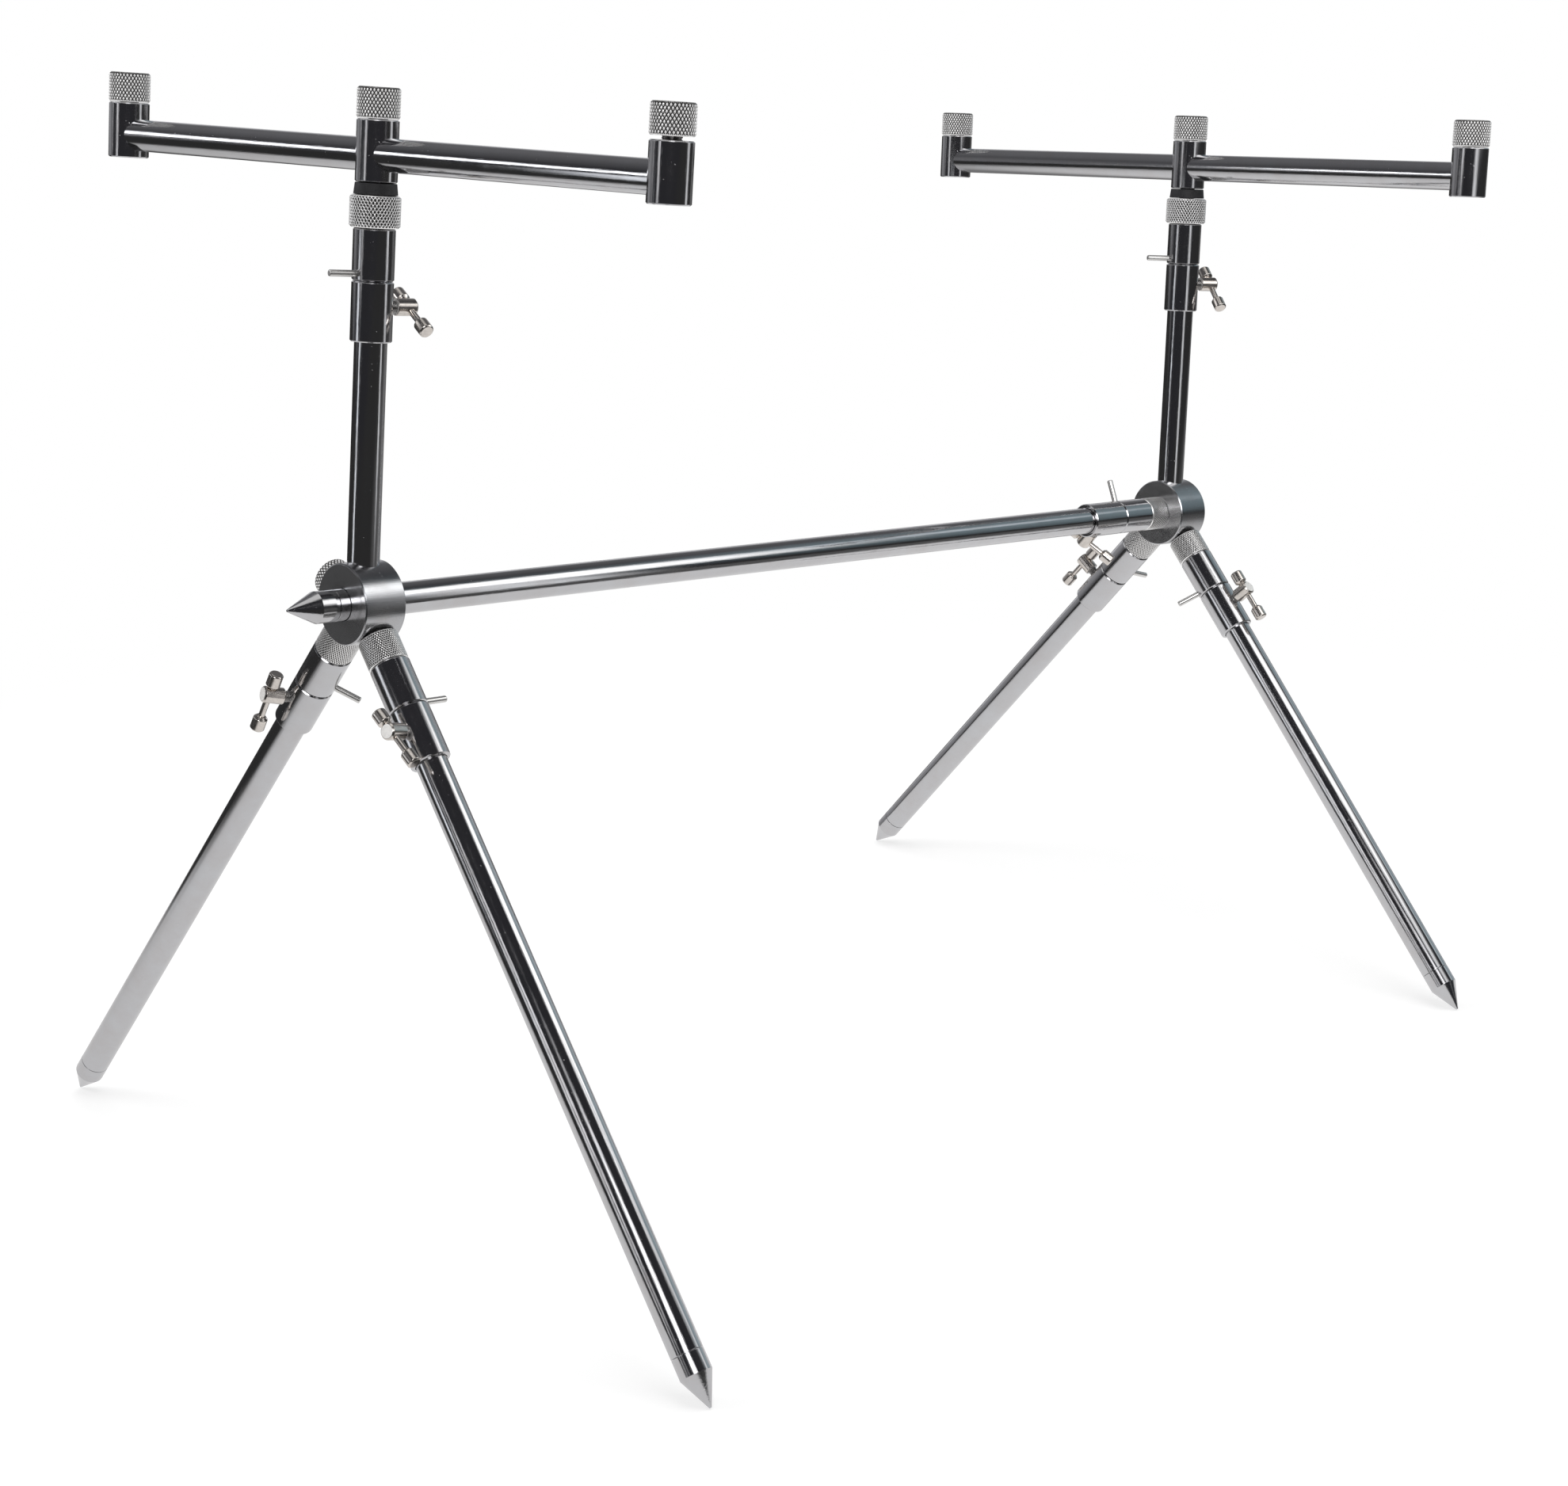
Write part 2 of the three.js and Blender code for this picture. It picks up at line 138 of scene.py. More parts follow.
def lean_to(line):
    """The shortest turn that brings +Z onto a line."""
    w = np.cross(Z, line)
    k = np.array([[0, -w[2], w[1]], [w[2], 0, -w[0]], [-w[1], w[0], 0]])
    place = np.eye(4)
    place[:3, :3] += k + k @ k / (1 + line[2])
    return place


# The pod's own axes in the frame: Y along the main bar, origin at the front hub's centre
joints = {j["name"]: j for j in frame["joints"]}
bar_line = unit(joints["front_frame_slide"]["axis"])
pod = stand(X, unit(np.cross(X, bar_line)), np.array(joints["hub_clamp_turn"]["pos_m"]) * 1000)


# ---------------------------------------------------------------- shapes

def rounded(profile, radii, loop=False, steps=5, hold=0.15):
    """Each corner of a profile gives way to a small arc of its radius, a quadratic curve from
    one side to the other, with a point just before and just after it that keeps the flats true."""
    p = np.asarray(profile, float)
    n = len(p)
    arc_share, hold_share = 0.42, 0.2  # the most that an arc and a point take of a side
    out = []
    for i in range(n):
        r = radii[i] if np.ndim(radii) else radii
        if not loop and i in (0, n - 1):
            out.append(p[i][None])
            continue
        a, b = p[i - 1] - p[i], p[(i + 1) % n] - p[i]
        la, lb = np.linalg.norm(a), np.linalg.norm(b)
        a, b = a / la, b / lb
        half = np.arccos(np.clip(a @ b, -1, 1)) / 2
        t = min(r / np.tan(half), arc_share * la, arc_share * lb)
        ha, hb = (min(hold, hold_share * (length - 2 * t)) for length in (la, lb))
        s = np.linspace(0, 1, steps)[:, None]
        arc = (1 - s) ** 2 * (p[i] + a * t) + 2 * s * (1 - s) * p[i] + s ** 2 * (p[i] + b * t)
        out += [(p[i] + a * (t + ha))[None], arc, (p[i] + b * (t + hb))[None]]
    return np.concatenate(out)


def turned(profile, around=72, relief=0):
    """A profile of (radius, height) turned about +Z: x = r cos u, y = r sin u, z = height,
    where r is the profile's radius plus a relief that may change round and along it."""
    profile = np.asarray(profile, float)
    u = np.arange(around) * 2 * np.pi / around
    r = profile[:, :1] + relief
    r = np.broadcast_to(r, (len(profile), around))
    return np.stack([r * np.cos(u), r * np.sin(u), np.broadcast_to(profile[:, 1:], r.shape)], -1)


def placed(grid, place):
    """Points brought to a place: turned, then shifted."""
    return grid @ place[:3, :3].T + place[:3, 3]


class Shell:
    """One closed surface: rows of points round an axis. It ends in a pole at both ends, or its
    last row joins its first."""

    def __init__(self, grid, loop=False, finish=0, local=None, depth=None, lattice=None):
        self.grid, self.loop, self.finish = grid, loop, finish
        self.local = grid if local is None else local
        self.depth = np.zeros(grid.shape[:2]) if depth is None else depth
        self.lattice = lattice

    def at(self, place):
        """The same shell at a place. It keeps its own coordinates for its finish."""
        return Shell(placed(self.grid, place), self.loop, self.finish, self.local, self.depth,
                     self.lattice)


def faces_of(shell, first):
    """Points, faces and per-face finish of a shell. Knurled rows are cut in two along the lines
    of the knurl, so that its ridges and grooves run straight."""
    rows, around = shell.grid.shape[:2]
    number = np.arange(rows * around).reshape(rows, around) + first
    finish = np.broadcast_to(np.asarray(shell.finish), (rows,))
    if shell.loop:
        lower, upper = np.arange(rows), np.roll(np.arange(rows), -1)
        grid, local = shell.grid.reshape(-1, 3), shell.local.reshape(-1, 3)
        depth = shell.depth.ravel()
        caps, cap_finish = np.zeros((0, 3), int), np.zeros(0, int)
    else:
        number = np.arange((rows - 2) * around).reshape(rows - 2, around) + first
        lower, upper = np.arange(rows - 3), np.arange(1, rows - 2)
        foot, top = number.size + first, number.size + first + 1
        a, b = number, np.roll(number, -1, 1)
        caps = np.concatenate([
            np.stack([b[0], a[0], np.full(around, foot)], 1),
            np.stack([a[-1], b[-1], np.full(around, top)], 1)])
        cap_finish = np.repeat([finish[1], finish[-2]], around)
        poles = lambda v: np.concatenate([v[1:-1].reshape(-1, *v.shape[2:]), v[0, :1], v[-1, :1]])
        grid, local, depth = poles(shell.grid), poles(shell.local), poles(shell.depth)
        finish = finish[1:-1]
    a, d = number[lower], number[upper]
    b, c = np.roll(a, -1, 1), np.roll(d, -1, 1)
    quads = np.stack([a, b, c, d], -1)
    kinds = np.broadcast_to(finish[lower][:, None], a.shape)
    if shell.lattice is None:
        return grid, local, depth, quads.reshape(-1, 4), caps, kinds.ravel(), cap_finish
    per_cell, start = shell.lattice
    j, i = np.indices(a.shape)
    back = (i + j + start + 1) % per_cell == 0
    one = np.where(back[..., None], quads[..., [0, 1, 3]], quads[..., [0, 1, 2]])
    two = np.where(back[..., None], quads[..., [1, 2, 3]], quads[..., [0, 2, 3]])
    split = np.stack([one, two], -2).reshape(-1, 3)
    return (grid, local, depth, np.zeros((0, 4), int), np.concatenate([split, caps]),
            np.zeros(0, int), np.concatenate([np.repeat(kinds.ravel(), 2), cap_finish]))


def piece(name, shells, finishes, body, nodes):
    """Puts shells into one mesh, in metres and in the frame's axes."""
    grids, locals_, depths, quads, triangles, kinds4, kinds3 = [], [], [], [], [], [], []
    first = 0
    for shell in shells:
        g, l, d, q, t, k4, k3 = faces_of(shell, first)
        first += len(g)
        for store, value in zip((grids, locals_, depths, quads, triangles, kinds4, kinds3),
                                (g, l, d, q, t, k4, k3)):
            store.append(value)
    points = placed(np.concatenate(grids), pod) * 0.001
    made = bpy.data.meshes.new(name)
    made.from_pydata(points.tolist(), [],
                     np.concatenate(quads).tolist() + np.concatenate(triangles).tolist())
    made.polygons.foreach_set("material_index",
                              np.concatenate(kinds4 + kinds3).astype(np.int32))
    made.polygons.foreach_set("use_smooth", np.ones(len(made.polygons), bool))
    made.attributes.new("own_place", "FLOAT_VECTOR", "POINT").data.foreach_set(
        "vector", (np.concatenate(locals_) * 0.001).ravel().astype(np.float32))
    made.attributes.new("groove", "FLOAT", "POINT").data.foreach_set(
        "value", np.concatenate(depths).astype(np.float32))
    for finish in finishes:
        made.materials.append(finish)
    made.update()
    thing = bpy.data.objects.new(name, made)
    bpy.context.scene.collection.objects.link(thing)
    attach(thing, body)
    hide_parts(*nodes)


def flat_rows(profile):
    """1 where a profile runs straight in or out, as across an end face, and 0 elsewhere."""
    step = np.roll(profile, -1, 0) - profile
    return (np.abs(step[:, 1]) < 0.001).astype(int)


def sleeve_shell(inner, outer, chamfer, start, end):
    """A round sleeve: a closed profile, chamfered outside at both ends, turned about +Z."""
    corners = [(inner, start), (outer - chamfer, start), (outer, start + chamfer),
               (outer, end - chamfer), (outer - chamfer, end), (inner, end)]
    return Shell(turned(rounded(corners, 0.12, loop=True, steps=4, hold=0.1), 96), loop=True)


def thread_relief(height, around, pitch, depth, start, end):
    """A screw thread: depth times a rounded wave of height / pitch - turn, fading at both ends."""
    u = np.arange(around) / around
    wave = 0.5 + 0.5 * np.cos(2 * np.pi * (height[:, None] / pitch - u))
    fade = np.clip(np.minimum(height - start, end - height) / pitch, 0, 1)[:, None]
    return -depth * wave * fade


def threaded_shell(radius, start, end, thread, around=40, per_turn=8, **more):
    """A threaded bar with flat ends, whose side lies at its radius plus the thread's relief."""
    pitch, depth = thread
    rows = max(per_turn, int((end - start) / pitch * per_turn)) + 1
    height = np.linspace(start, end, rows)
    side = np.stack([np.full(rows, float(radius)), height], 1)
    relief = thread_relief(height, around, pitch, depth, start, end)
    flat = 0.8 * radius
    profile = np.concatenate([[(0, start), (flat, start)], side, [(flat, end), (0, end)]])
    relief = np.concatenate([np.zeros((2, around)), relief, np.zeros((2, around))])
    return Shell(turned(profile, around, relief), **more)


def knurl(knurl_relief, radius, start, end, foot_chamfer, top_chamfer):
    """The knurled side of a ring or knob. Two families of lines, s = turn * cells plus and minus
    height / axial pitch, cross on it. Where 'cut', each line is a groove and leaves pyramids;
    where 'raised', each line is a ridge. The knurl runs out just short of both ends, and
    the chamfers cut it off like a cone there. A knob's top chamfer is painted dark like a
    groove, a painted shade. Returns the profile, the relief, how dark each point is painted
    (its depth in the knurl, and the painted shade of a knob's top chamfer), and the rows' lattice."""
    style, cells, axial_pitch, per_cell, depth = knurl_relief
    around = cells * per_cell
    step = axial_pitch / per_cell
    middle = (start + end) / 2
    count = int(np.ceil((end - start) / 2 / step))
    j = np.arange(-count, count + 1)
    height = np.clip(middle + j * step, start, end)
    i = np.arange(around)
    s1 = (i[None] + j[:, None]) / per_cell
    s2 = (i[None] - j[:, None]) / per_cell
    near = lambda s: 2 * np.abs(s - np.round(s))
    from_line = np.minimum(near(s1), near(s2))
    flank = 0.78 if style == "cut" else 0.5
    level = np.clip(from_line / flank if style == "cut" else 1 - from_line / flank, 0, 1)
    plain_rim, run_out = 0.15, 0.6
    cut_in = np.clip((np.minimum(height - start, end - height) - plain_rim) / run_out, 0, 1)
    level = 1 - (1 - level) * cut_in[:, None]
    relief = -depth * (1 - level)
    limit = radius - np.maximum(
        np.clip(foot_chamfer - (height - start), 0, None),
        np.clip(top_chamfer - (end - height), 0, None))
    r = np.minimum(radius + relief, limit[:, None])
    profile = np.stack([np.full(len(height), float(radius)), height], 1)
    groove = 1 - level
    # painted shade: a knob's top chamfer is painted as dark as two thirds of a groove
    if style == "cut":
        top_rim = np.clip((top_chamfer - (end - height)) / 0.3, 0, 1)
        rim_shade = 0.66
        groove = np.maximum(groove, rim_shade * top_rim[:, None])
    return profile, r - radius, groove, (per_cell, int(-count) % per_cell)


def knurled_shell(knurl_relief, radius, start, end, foot_chamfer, top_chamfer,
                  before=(), after=(), loop=True):
    """A ring or knob with a knurled side: turned flats from the inner edge out to the knurl's
    foot, the knurl, and turned flats back in."""
    side, relief, groove, (per_cell, shift) = knurl(
        knurl_relief, radius, start, end, foot_chamfer, top_chamfer)
    around = relief.shape[1]
    foot_edge, top_edge = radius - foot_chamfer, radius - top_chamfer
    near_edge, far_edge = 0.25, 0.9
    foot = [*before, (foot_edge - far_edge, start), (foot_edge - near_edge, start)]
    top = [(top_edge - near_edge, end), (top_edge - far_edge, end), *after]
    profile = np.concatenate([foot, side, top])
    pad = lambda a: np.concatenate([np.zeros((len(foot), around)), a, np.zeros((len(top), around))])
    finish = np.concatenate([np.ones(len(foot) - 1), np.zeros(len(side) + 1), np.ones(len(top))])
    return Shell(turned(profile, around, pad(relief)), loop=loop, finish=finish.astype(int),
                 depth=pad(groove), lattice=(per_cell, shift - len(foot) + (0 if loop else 1)))


# ---------------------------------------------------------------- finishes

class Finish:
    """Builds the nodes of one material, or of the world, step by step."""

    def __init__(self, name, store=bpy.data.materials, bare=False):
        self.made = store.new(name)
        self.made.use_nodes = True
        self.tree = self.made.node_tree
        if bare:
            self.tree.nodes.clear()
        else:
            self.shader = self.tree.nodes["Principled BSDF"]

    def node(self, kind, **sockets):
        """A node with its sockets set, __ for a space. A leading _ names one of its settings."""
        n = self.tree.nodes.new(kind)
        for key, value in sockets.items():
            if key.startswith("_"):
                setattr(n, key[1:], value)
            else:
                self.set(n.inputs[key.replace("__", " ")], value)
        return n

    def set(self, socket, value):
        """Links a socket to another, or gives it a plain value."""
        if isinstance(value, bpy.types.NodeSocket):
            self.tree.links.new(value, socket)
        else:
            socket.default_value = value

    def surface(self, **sockets):
        """Sets sockets of the material's shader."""
        for key, value in sockets.items():
            self.set(self.shader.inputs[key.replace("__", " ")], value)

    def own_place(self, along=1.0):
        """The piece's own coordinates, in which +Z runs along it, stretched along it."""
        place = self.node("ShaderNodeAttribute", _attribute_name="own_place").outputs["Vector"]
        n = self.node("ShaderNodeVectorMath", _operation="MULTIPLY")
        self.set(n.inputs[0], place)
        n.inputs[1].default_value = (1, 1, along)
        return n.outputs["Vector"]

    def noise(self, vector, scale, detail, rough):
        """Cloudy noise from 0 to 1, its scale in waves to the metre."""
        n = self.node("ShaderNodeTexNoise", Scale=scale, Detail=detail, Roughness=rough)
        self.set(n.inputs["Vector"], vector)
        return n.outputs["Fac"]

    def graded(self, value, low, high, to_low, to_high):
        """Brings a value's range onto another one, clamped."""
        n = self.node("ShaderNodeMapRange", **{"From__Min": low, "From__Max": high,
                                               "To__Min": to_low, "To__Max": to_high})
        self.set(n.inputs["Value"], value)
        return n.outputs["Result"]

    def blend(self, factor, one, two):
        """One colour where the factor is 0, the other where it is 1."""
        n = self.node("ShaderNodeMix", _data_type="RGBA")
        self.set(n.inputs["Factor"], factor)
        for socket, value in ((n.inputs[6], one), (n.inputs[7], two)):
            self.set(socket, value if isinstance(value, bpy.types.NodeSocket) else (*value, 1))
        return n.outputs[2]

    def maths(self, operation, a, b):
        """One sum, product or power."""
        n = self.node("ShaderNodeMath", _operation=operation)
        self.set(n.inputs[0], a)
        self.set(n.inputs[1], b)
        return n.outputs["Value"]

    def mixed(self, factor, one, two):
        """One shader where the factor is 0, the other where it is 1."""
        n = self.node("ShaderNodeMixShader")
        for socket, value in zip(n.inputs, (factor, one, two)):
            self.set(socket, value)
        return n.outputs[0]

    def bump(self, height, strength, distance, normal=None):
        """Fine relief, in metres, on top of another one."""
        n = self.node("ShaderNodeBump", Strength=strength, Distance=distance)
        self.set(n.inputs["Height"], height)
        if normal is not None:
            self.set(n.inputs["Normal"], normal)
        return n.outputs["Normal"]


def polished_steel(name, colour, rough_low, rough_high, ripple, metal=1.0, drawn=0.6):
    """Mirror-polished stainless steel: smudges change its gloss, hair scratches run along it,
    small nicks sit here and there, their colour lifted a little as a painted glint, and the
    tube is never quite straight."""
    f = Finish(name)
    place = f.own_place()
    smudge = f.noise(place, 70, 4.0, 0.6)
    lengthwise = f.noise(f.own_place(0.03), 2600, 2.0, 0.6)
    nick = f.noise(place, 900, 2.0, 0.5)
    nick_and_glint = f.graded(nick, 0.75, 0.79, 0.0, 1.0)
    wave = f.noise(f.own_place(0.25), 60, 1.0, 0.4)
    rough = f.graded(smudge, 0.35, 0.7, rough_low, rough_high)
    rough = f.maths("ADD", rough, f.maths("MULTIPLY", nick_and_glint, 0.2))
    tint = f.blend(f.graded(smudge, 0.3, 0.7, 0, 1), colour,
                   tuple(k * c for k, c in zip((0.95, 0.925, 0.91), colour)))
    # painted glint: the nicks' colour is lifted toward a lighter grey, while their roughness and
    # bump are real marks
    tint = f.blend(f.maths("MULTIPLY", nick_and_glint, 0.35), tint, (0.75, 0.74, 0.72))
    normal = f.bump(wave, 0.5, ripple)
    normal = f.bump(lengthwise, drawn, 0.00004, normal)
    normal = f.bump(nick_and_glint, 0.6, 0.00006, normal)
    f.surface(Base__Color=tint, Metallic=metal, Roughness=rough, Normal=normal)
    return f.made


def knurled_steel(name, ridge, valley_shade, rough, metal):
    """Knurled steel: near-white tops, partly wear and partly a painted highlight, over near-black
    grooves that are painted shade.
    """
    f = Finish(name)
    depth = f.node("ShaderNodeAttribute", _attribute_name="groove").outputs["Fac"]
    grain = f.noise(f.own_place(), 1500, 2.0, 0.6)
    # groove depth, with some grain, picks the colour: the tops' painted highlight or the grooves'
    # painted shade
    wear_and_groove_shade = f.graded(f.maths("ADD", depth, f.maths("MULTIPLY", grain, 0.3)), 0.55, 0.85, 0.0, 1.0)
    f.surface(Base__Color=f.blend(wear_and_groove_shade, ridge, valley_shade), Metallic=metal,
              Roughness=f.graded(wear_and_groove_shade, 0.0, 1.0, rough, rough + 0.18),
              Normal=f.bump(grain, 0.2, 0.00004))
    return f.made


def turned_steel(name, colour, rough, metal=1.0, ringed=0.12):
    """Satin steel with the fine rings that a lathe leaves on a face or chamfer."""
    f = Finish(name)
    place = f.node("ShaderNodeSeparateXYZ", Vector=f.own_place())
    across = f.maths("POWER", f.maths("ADD", f.maths("POWER", place.outputs["X"], 2.0),
                                      f.maths("POWER", place.outputs["Y"], 2.0)), 0.5)
    rings = f.node("ShaderNodeCombineXYZ", X=across, Z=place.outputs["Z"])
    mark = f.noise(rings.outputs["Vector"], 3800, 2.0, 0.7)
    smudge = f.noise(f.own_place(), 260, 3.0, 0.6)
    f.surface(Base__Color=f.blend(f.graded(smudge, 0.35, 0.7, 0, 1), colour,
                                  tuple(0.82 * c for c in colour)), Metallic=metal,
              Roughness=f.graded(smudge, 0.3, 0.7, rough, rough + 0.12),
              Normal=f.bump(mark, ringed, 0.00003))
    return f.made


def nickel_plate(name, colour, rough):
    """Warm nickel plate over turned brass: soft mottling and light handling marks."""
    f = Finish(name)
    mottle = f.noise(f.own_place(), 420, 4.0, 0.65)
    marks = f.noise(f.own_place(0.2), 2400, 2.0, 0.6)
    f.surface(Base__Color=f.blend(f.graded(mottle, 0.35, 0.7, 0, 1), colour,
                                  tuple(0.84 * c for c in colour)), Metallic=1.0,
              Roughness=f.graded(mottle, 0.3, 0.7, rough, rough + 0.12),
              Normal=f.bump(marks, 0.3, 0.00004))
    return f.made


def black_plastic(name):
    """Matt black moulded plastic with a fine grain."""
    f = Finish(name)
    grain = f.noise(f.own_place(), 2200, 3.0, 0.6)
    cloud = f.noise(f.own_place(), 180, 3.0, 0.5)
    f.surface(Base__Color=f.blend(f.graded(cloud, 0.3, 0.7, 0, 1), (0.010, 0.010, 0.011),
                                  (0.022, 0.022, 0.024)),
              Roughness=f.graded(grain, 0.3, 0.7, 0.5, 0.72), Normal=f.bump(grain, 0.4, 0.00005))
    return f.made


tube_steel = polished_steel("polished_stainless_tube", (0.61, 0.615, 0.63), 0.06, 0.12, 0.00006)
head_steel = polished_steel("polished_stainless_head", (0.61, 0.615, 0.63), 0.07, 0.13, 0.00005)
hub_steel = polished_steel("polished_stainless_hub", (0.53, 0.54, 0.555), 0.19, 0.26, 0.00005)
# knurl colours: the near-white ridges are partly a painted highlight, the near-black valleys are
# painted shade
knob_knurl = knurled_steel("knurled_stainless_knob", (1.0, 0.99, 0.985), (0.02, 0.019, 0.018), 0.12,
                           0.34)
post_knurl = knurled_steel("knurled_stainless_post_ring", (1.0, 0.99, 0.985), (0.03, 0.029, 0.028),
                           0.16, 0.52)
ring_knurl = knurled_steel("knurled_stainless_leg_ring", (0.97, 0.96, 0.95), (0.04, 0.038, 0.036),
                           0.13, 0.76)
satin = turned_steel("turned_stainless_face", (0.66, 0.65, 0.64), 0.24)
hub_face = turned_steel("brushed_hub_face", (0.56, 0.56, 0.57), 0.12, 0.93, 0.03)
pin_steel = polished_steel("polished_lever_pin", (0.74, 0.735, 0.72), 0.16, 0.22, 0.00001, 0.86,
                           0.12)
thread_steel = turned_steel("threaded_stainless", (0.34, 0.33, 0.32), 0.28)
nickel = nickel_plate("warm_nickel_plate", (0.79, 0.74, 0.69), 0.14)
# the barrel's end faces: a turned finish of their own, its near-white colour a painted highlight
nickel_end_painted_bright = turned_steel("turned_nickel_end_painted_bright", (0.97, 0.95, 0.92), 0.3, 0.3)
plastic = black_plastic("matt_black_washer")


# ---------------------------------------------------------------- members

def clamp_screw_shells(place):
    """The clamp screw: a threaded shank, and a barrel with broken edges."""
    shank = threaded_shell(screw_shank_radius, screw_start, screw_shoulder + 2 * sunk,
                           clamp_thread, finish=1)
    edge = 0.3
    profile = rounded([
        (0, screw_shoulder), (screw_barrel_radius - edge, screw_shoulder),
        (screw_barrel_radius, screw_shoulder + edge),
        (screw_barrel_radius, screw_end - screw_chamfer),
        (screw_barrel_radius - screw_chamfer, screw_end), (0, screw_end)], 0.25)
    # the flat end faces take the third finish, nickel painted lighter as a painted highlight
    barrel = Shell(turned(profile, 56), finish=2 * flat_rows(profile))
    return [shank.at(place), barrel.at(place)]


def tommy_shell(place):
    """The sliding tommy bar with a rounded knob at each end."""
    stop = screw_barrel_radius + clearance
    low = stop + tommy_travel
    neck = tommy_knob_radius - tommy_knob_chamfer
    face = tommy_knob_radius - tommy_knob_edge
    corners = [
        (0, -stop - tommy_knob_length), (face, -stop - tommy_knob_length),
        (tommy_knob_radius, -stop - tommy_knob_length + tommy_knob_edge),
        (tommy_knob_radius, -stop - tommy_knob_chamfer), (neck, -stop), (tommy_radius, -stop),
        (tommy_radius, low), (neck, low), (tommy_knob_radius, low + tommy_knob_chamfer),
        (tommy_knob_radius, low + tommy_knob_length - tommy_knob_edge),
        (face, low + tommy_knob_length), (0, low + tommy_knob_length)]
    radii = [0, 0.5, 0.5, 0.5, 0.35, 0.1, 0.1, 0.35, 0.5, 0.5, 0.5, 0]
    return Shell(turned(rounded(corners, radii), 48)).at(place)


def member(name, place, bodies, fine, stub_length, tube_end, rod_end, spiked):
    """One telescopic member along its own +Z: knurled ring, fitting with its lever pin, collar
    on the outer tube, clamp screw with tommy bar, inner rod and, on legs and bar, a spike."""
    upper, lower = bodies
    screw_turn, lever_turn, tommy_turn = turns[name]
    relief, outer, chamfer, knurled = (
        (leg_ring_relief, head_radius, head_chamfer, ring_knurl) if fine else
        (post_ring_relief, post_ring_radius, post_ring_chamfer, post_knurl))
    mouth = bore_radius + bore_edge
    ring = knurled_shell(relief, outer, 0, ring_length, chamfer, chamfer,
                         [(bore_radius, bore_edge), (mouth, 0)],
                         [(mouth, ring_length), (bore_radius, ring_length - bore_edge)])
    piece(f"{name}_knurled_ring", [ring.at(place)], [knurled, satin], f"{name}_ring",
          [f"{name}_ring"])

    stub = threaded_shell(stub_radius, -stub_length, fitting_start + sunk, stub_thread, finish=1)
    fitting = Shell(turned(rounded([
        (0, fitting_start), (head_radius - head_chamfer, fitting_start),
        (head_radius, fitting_start + head_chamfer), (head_radius, fitting_end - head_chamfer),
        (head_radius - head_chamfer, fitting_end), (0, fitting_end)], 0.12, steps=4, hold=0.1), 96))
    rod = Shell(turned(rounded([
        (rod_radius - rod_wall, fitting_end - sunk), (rod_radius, fitting_end - sunk),
        (rod_radius, rod_end), (rod_radius - rod_wall, rod_end)], 0.2, loop=True), 72), loop=True)
    lever_line = placed(X, about("Z", lever_turn))
    lever_stand = stand(Z, lever_line, (0, 0, lever_place))
    lever = Shell(turned(rounded([(0, stub_radius), (lever_radius, stub_radius),
                                  (lever_radius, lever_reach), (0, lever_reach)],
                                 [0, 0.1, 0.75, 0], steps=8), 40), finish=2).at(lever_stand)
    piece(f"{name}_fitting_and_rod", [s.at(place) for s in (stub, fitting, rod, lever)],
          [head_steel, thread_steel, pin_steel], upper, [f"{name}_rod"])

    tube = Shell(turned(rounded([
        (tube_radius - tube_wall, collar_start), (tube_radius, collar_start),
        (tube_radius, tube_end), (tube_radius - tube_wall, tube_end)], 0.15, loop=True), 96),
        loop=True)
    piece(f"{name}_drawn_tube", [tube.at(place)], [tube_steel], lower, [f"{name}_tube"])
    collar = sleeve_shell(sleeve_radius, head_radius, head_chamfer, collar_start, collar_end)
    piece(f"{name}_turned_collar", [collar.at(place)], [head_steel], lower, [f"{name}_collar"])

    screw_line = placed(X, about("Z", screw_turn))
    a = np.radians(tommy_turn)
    tommy_line = np.cos(a) * Z + np.sin(a) * np.cross(Z, screw_line)
    screw_stand = place @ stand(tommy_line, screw_line, (0, 0, screw_place))
    piece(f"{name}_screw_and_barrel", clamp_screw_shells(screw_stand),
          [nickel, thread_steel, nickel_end_painted_bright], f"{name}_screw", [f"{name}_clamp_screw"])
    piece(f"{name}_sliding_bar",
          [tommy_shell(screw_stand @ stand(-Z, X, (0, 0, tommy_place)))], [nickel],
          f"{name}_tommy", [f"{name}_tommy_bar"])

    if spiked:
        shoulder = tube_end + clearance
        cone = Shell(turned(rounded([
            (0, tube_end - spike_plug_length), (rod_radius, tube_end - spike_plug_length),
            (rod_radius, shoulder), (tube_radius, shoulder),
            (tube_radius, shoulder + spike_shoulder_length),
            (spike_tip_radius, shoulder + spike_shoulder_length + spike_cone_length),
            (0, shoulder + spike_shoulder_length + spike_cone_length)],
            [0, 0.2, 0.05, 0.12, 0.1, 0.3, 0]), 96))
        piece(f"{name}_turned_spike", [cone.at(place)], [head_steel], lower, [f"{name}_spike"])


def leg(end, side):
    """A splayed leg with its spike: side is 1 on the right and -1 on the left."""
    name = f"{end}_{'right' if side > 0 else 'left'}_leg"
    a = np.radians(leg_splay[end])
    line = np.array([side * np.sin(a), 0, -np.cos(a)])
    base = np.array([0, hub_place[end], 0])
    place = stand(-Y, line, base + line * (hub_radius + clearance))
    reach = leg_reach[end] - hub_radius - clearance
    tube_end = reach - clearance - spike_shoulder_length - spike_cone_length
    member(name, place, (f"{end}_frame", f"{name}_lower"), True, hub_socket_depth, tube_end,
           tube_end - spike_plug_length - rod_spare, True)


